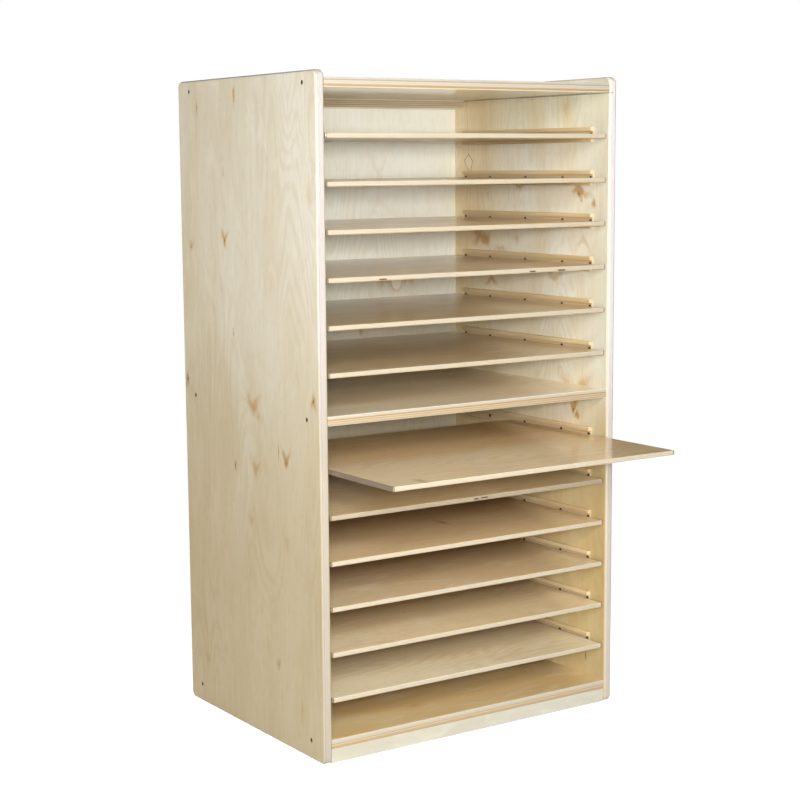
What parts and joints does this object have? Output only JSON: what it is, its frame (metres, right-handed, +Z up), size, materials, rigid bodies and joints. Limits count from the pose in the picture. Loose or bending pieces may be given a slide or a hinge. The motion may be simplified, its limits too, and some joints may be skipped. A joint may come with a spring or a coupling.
{
  "type": "paper storage drawer cabinet",
  "caption": "Open-fronted plywood cabinet with two banks of flat sliding trays in grooved rails, for storing large sheets of craft paper.",
  "frame": {"origin": "on the floor, at the middle of the footprint's box as it stands, with the seventh tray pulled out", "axes": "+Z up, +X to the right seen from the open front, and the open front faces -Y"},
  "size_m": [0.702, 0.7404, 1.282],
  "materials": {
    "birch_plywood": "clear satin lacquer over birch plywood, vertical grain on the sides",
    "tray_plywood": "clear semi-gloss lacquer over thin birch plywood",
    "rail_birch": "clear satin lacquer over solid birch",
    "screw_black": "dull black phosphate"
  },
  "bodies": {
    "carcass": {"side_panel_left": "birch_plywood", "side_panel_right": "birch_plywood", "top_panel": "birch_plywood", "middle_shelf": "birch_plywood", "bottom_shelf": "birch_plywood", "kick_board": "birch_plywood", "rear_batten": "birch_plywood", "back_panel": "birch_plywood", "rail_left_01": "rail_birch", "rail_left_02": "rail_birch", "rail_left_03": "rail_birch", "rail_left_04": "rail_birch", "rail_left_05": "rail_birch", "rail_left_06": "rail_birch", "rail_left_07": "rail_birch", "rail_left_08": "rail_birch", "rail_left_09": "rail_birch", "rail_left_10": "rail_birch", "rail_left_11": "rail_birch", "rail_left_12": "rail_birch", "rail_right_01": "rail_birch", "rail_right_02": "rail_birch", "rail_right_03": "rail_birch", "rail_right_04": "rail_birch", "rail_right_05": "rail_birch", "rail_right_06": "rail_birch", "rail_right_07": "rail_birch", "rail_right_08": "rail_birch", "rail_right_09": "rail_birch", "rail_right_10": "rail_birch", "rail_right_11": "rail_birch", "rail_right_12": "rail_birch", "case_screws_left": "screw_black", "case_screws_right": "screw_black", "rail_screws_left": "screw_black", "rail_screws_right": "screw_black", "back_screws": "screw_black"},
    "tray_01": {"tray_01": "tray_plywood"},
    "tray_02": {"tray_02": "tray_plywood"},
    "tray_03": {"tray_03": "tray_plywood"},
    "tray_04": {"tray_04": "tray_plywood"},
    "tray_05": {"tray_05": "tray_plywood"},
    "tray_06": {"tray_06": "tray_plywood"},
    "tray_07": {"tray_07": "tray_plywood"},
    "tray_08": {"tray_08": "tray_plywood"},
    "tray_09": {"tray_09": "tray_plywood"},
    "tray_10": {"tray_10": "tray_plywood"},
    "tray_11": {"tray_11": "tray_plywood"},
    "tray_12": {"tray_12": "tray_plywood"}
  },
  "joints": [
    {"name": "tray_01_slide", "type": "slide", "parent": "carcass", "child": "tray_01", "axis": [0, -1, 0], "range_m": [0, 0.34]},
    {"name": "tray_02_slide", "type": "slide", "parent": "carcass", "child": "tray_02", "axis": [0, -1, 0], "range_m": [0, 0.34]},
    {"name": "tray_03_slide", "type": "slide", "parent": "carcass", "child": "tray_03", "axis": [0, -1, 0], "range_m": [0, 0.34]},
    {"name": "tray_04_slide", "type": "slide", "parent": "carcass", "child": "tray_04", "axis": [0, -1, 0], "range_m": [0, 0.34]},
    {"name": "tray_05_slide", "type": "slide", "parent": "carcass", "child": "tray_05", "axis": [0, -1, 0], "range_m": [0, 0.34]},
    {"name": "tray_06_slide", "type": "slide", "parent": "carcass", "child": "tray_06", "axis": [0, -1, 0], "range_m": [0, 0.34]},
    {"name": "tray_07_slide", "type": "slide", "parent": "carcass", "child": "tray_07", "axis": [0, -1, 0], "range_m": [-0.209, 0.131]},
    {"name": "tray_08_slide", "type": "slide", "parent": "carcass", "child": "tray_08", "axis": [0, -1, 0], "range_m": [0, 0.34]},
    {"name": "tray_09_slide", "type": "slide", "parent": "carcass", "child": "tray_09", "axis": [0, -1, 0], "range_m": [0, 0.34]},
    {"name": "tray_10_slide", "type": "slide", "parent": "carcass", "child": "tray_10", "axis": [0, -1, 0], "range_m": [0, 0.34]},
    {"name": "tray_11_slide", "type": "slide", "parent": "carcass", "child": "tray_11", "axis": [0, -1, 0], "range_m": [0, 0.34]},
    {"name": "tray_12_slide", "type": "slide", "parent": "carcass", "child": "tray_12", "axis": [0, -1, 0], "range_m": [0, 0.34]}
  ]
}
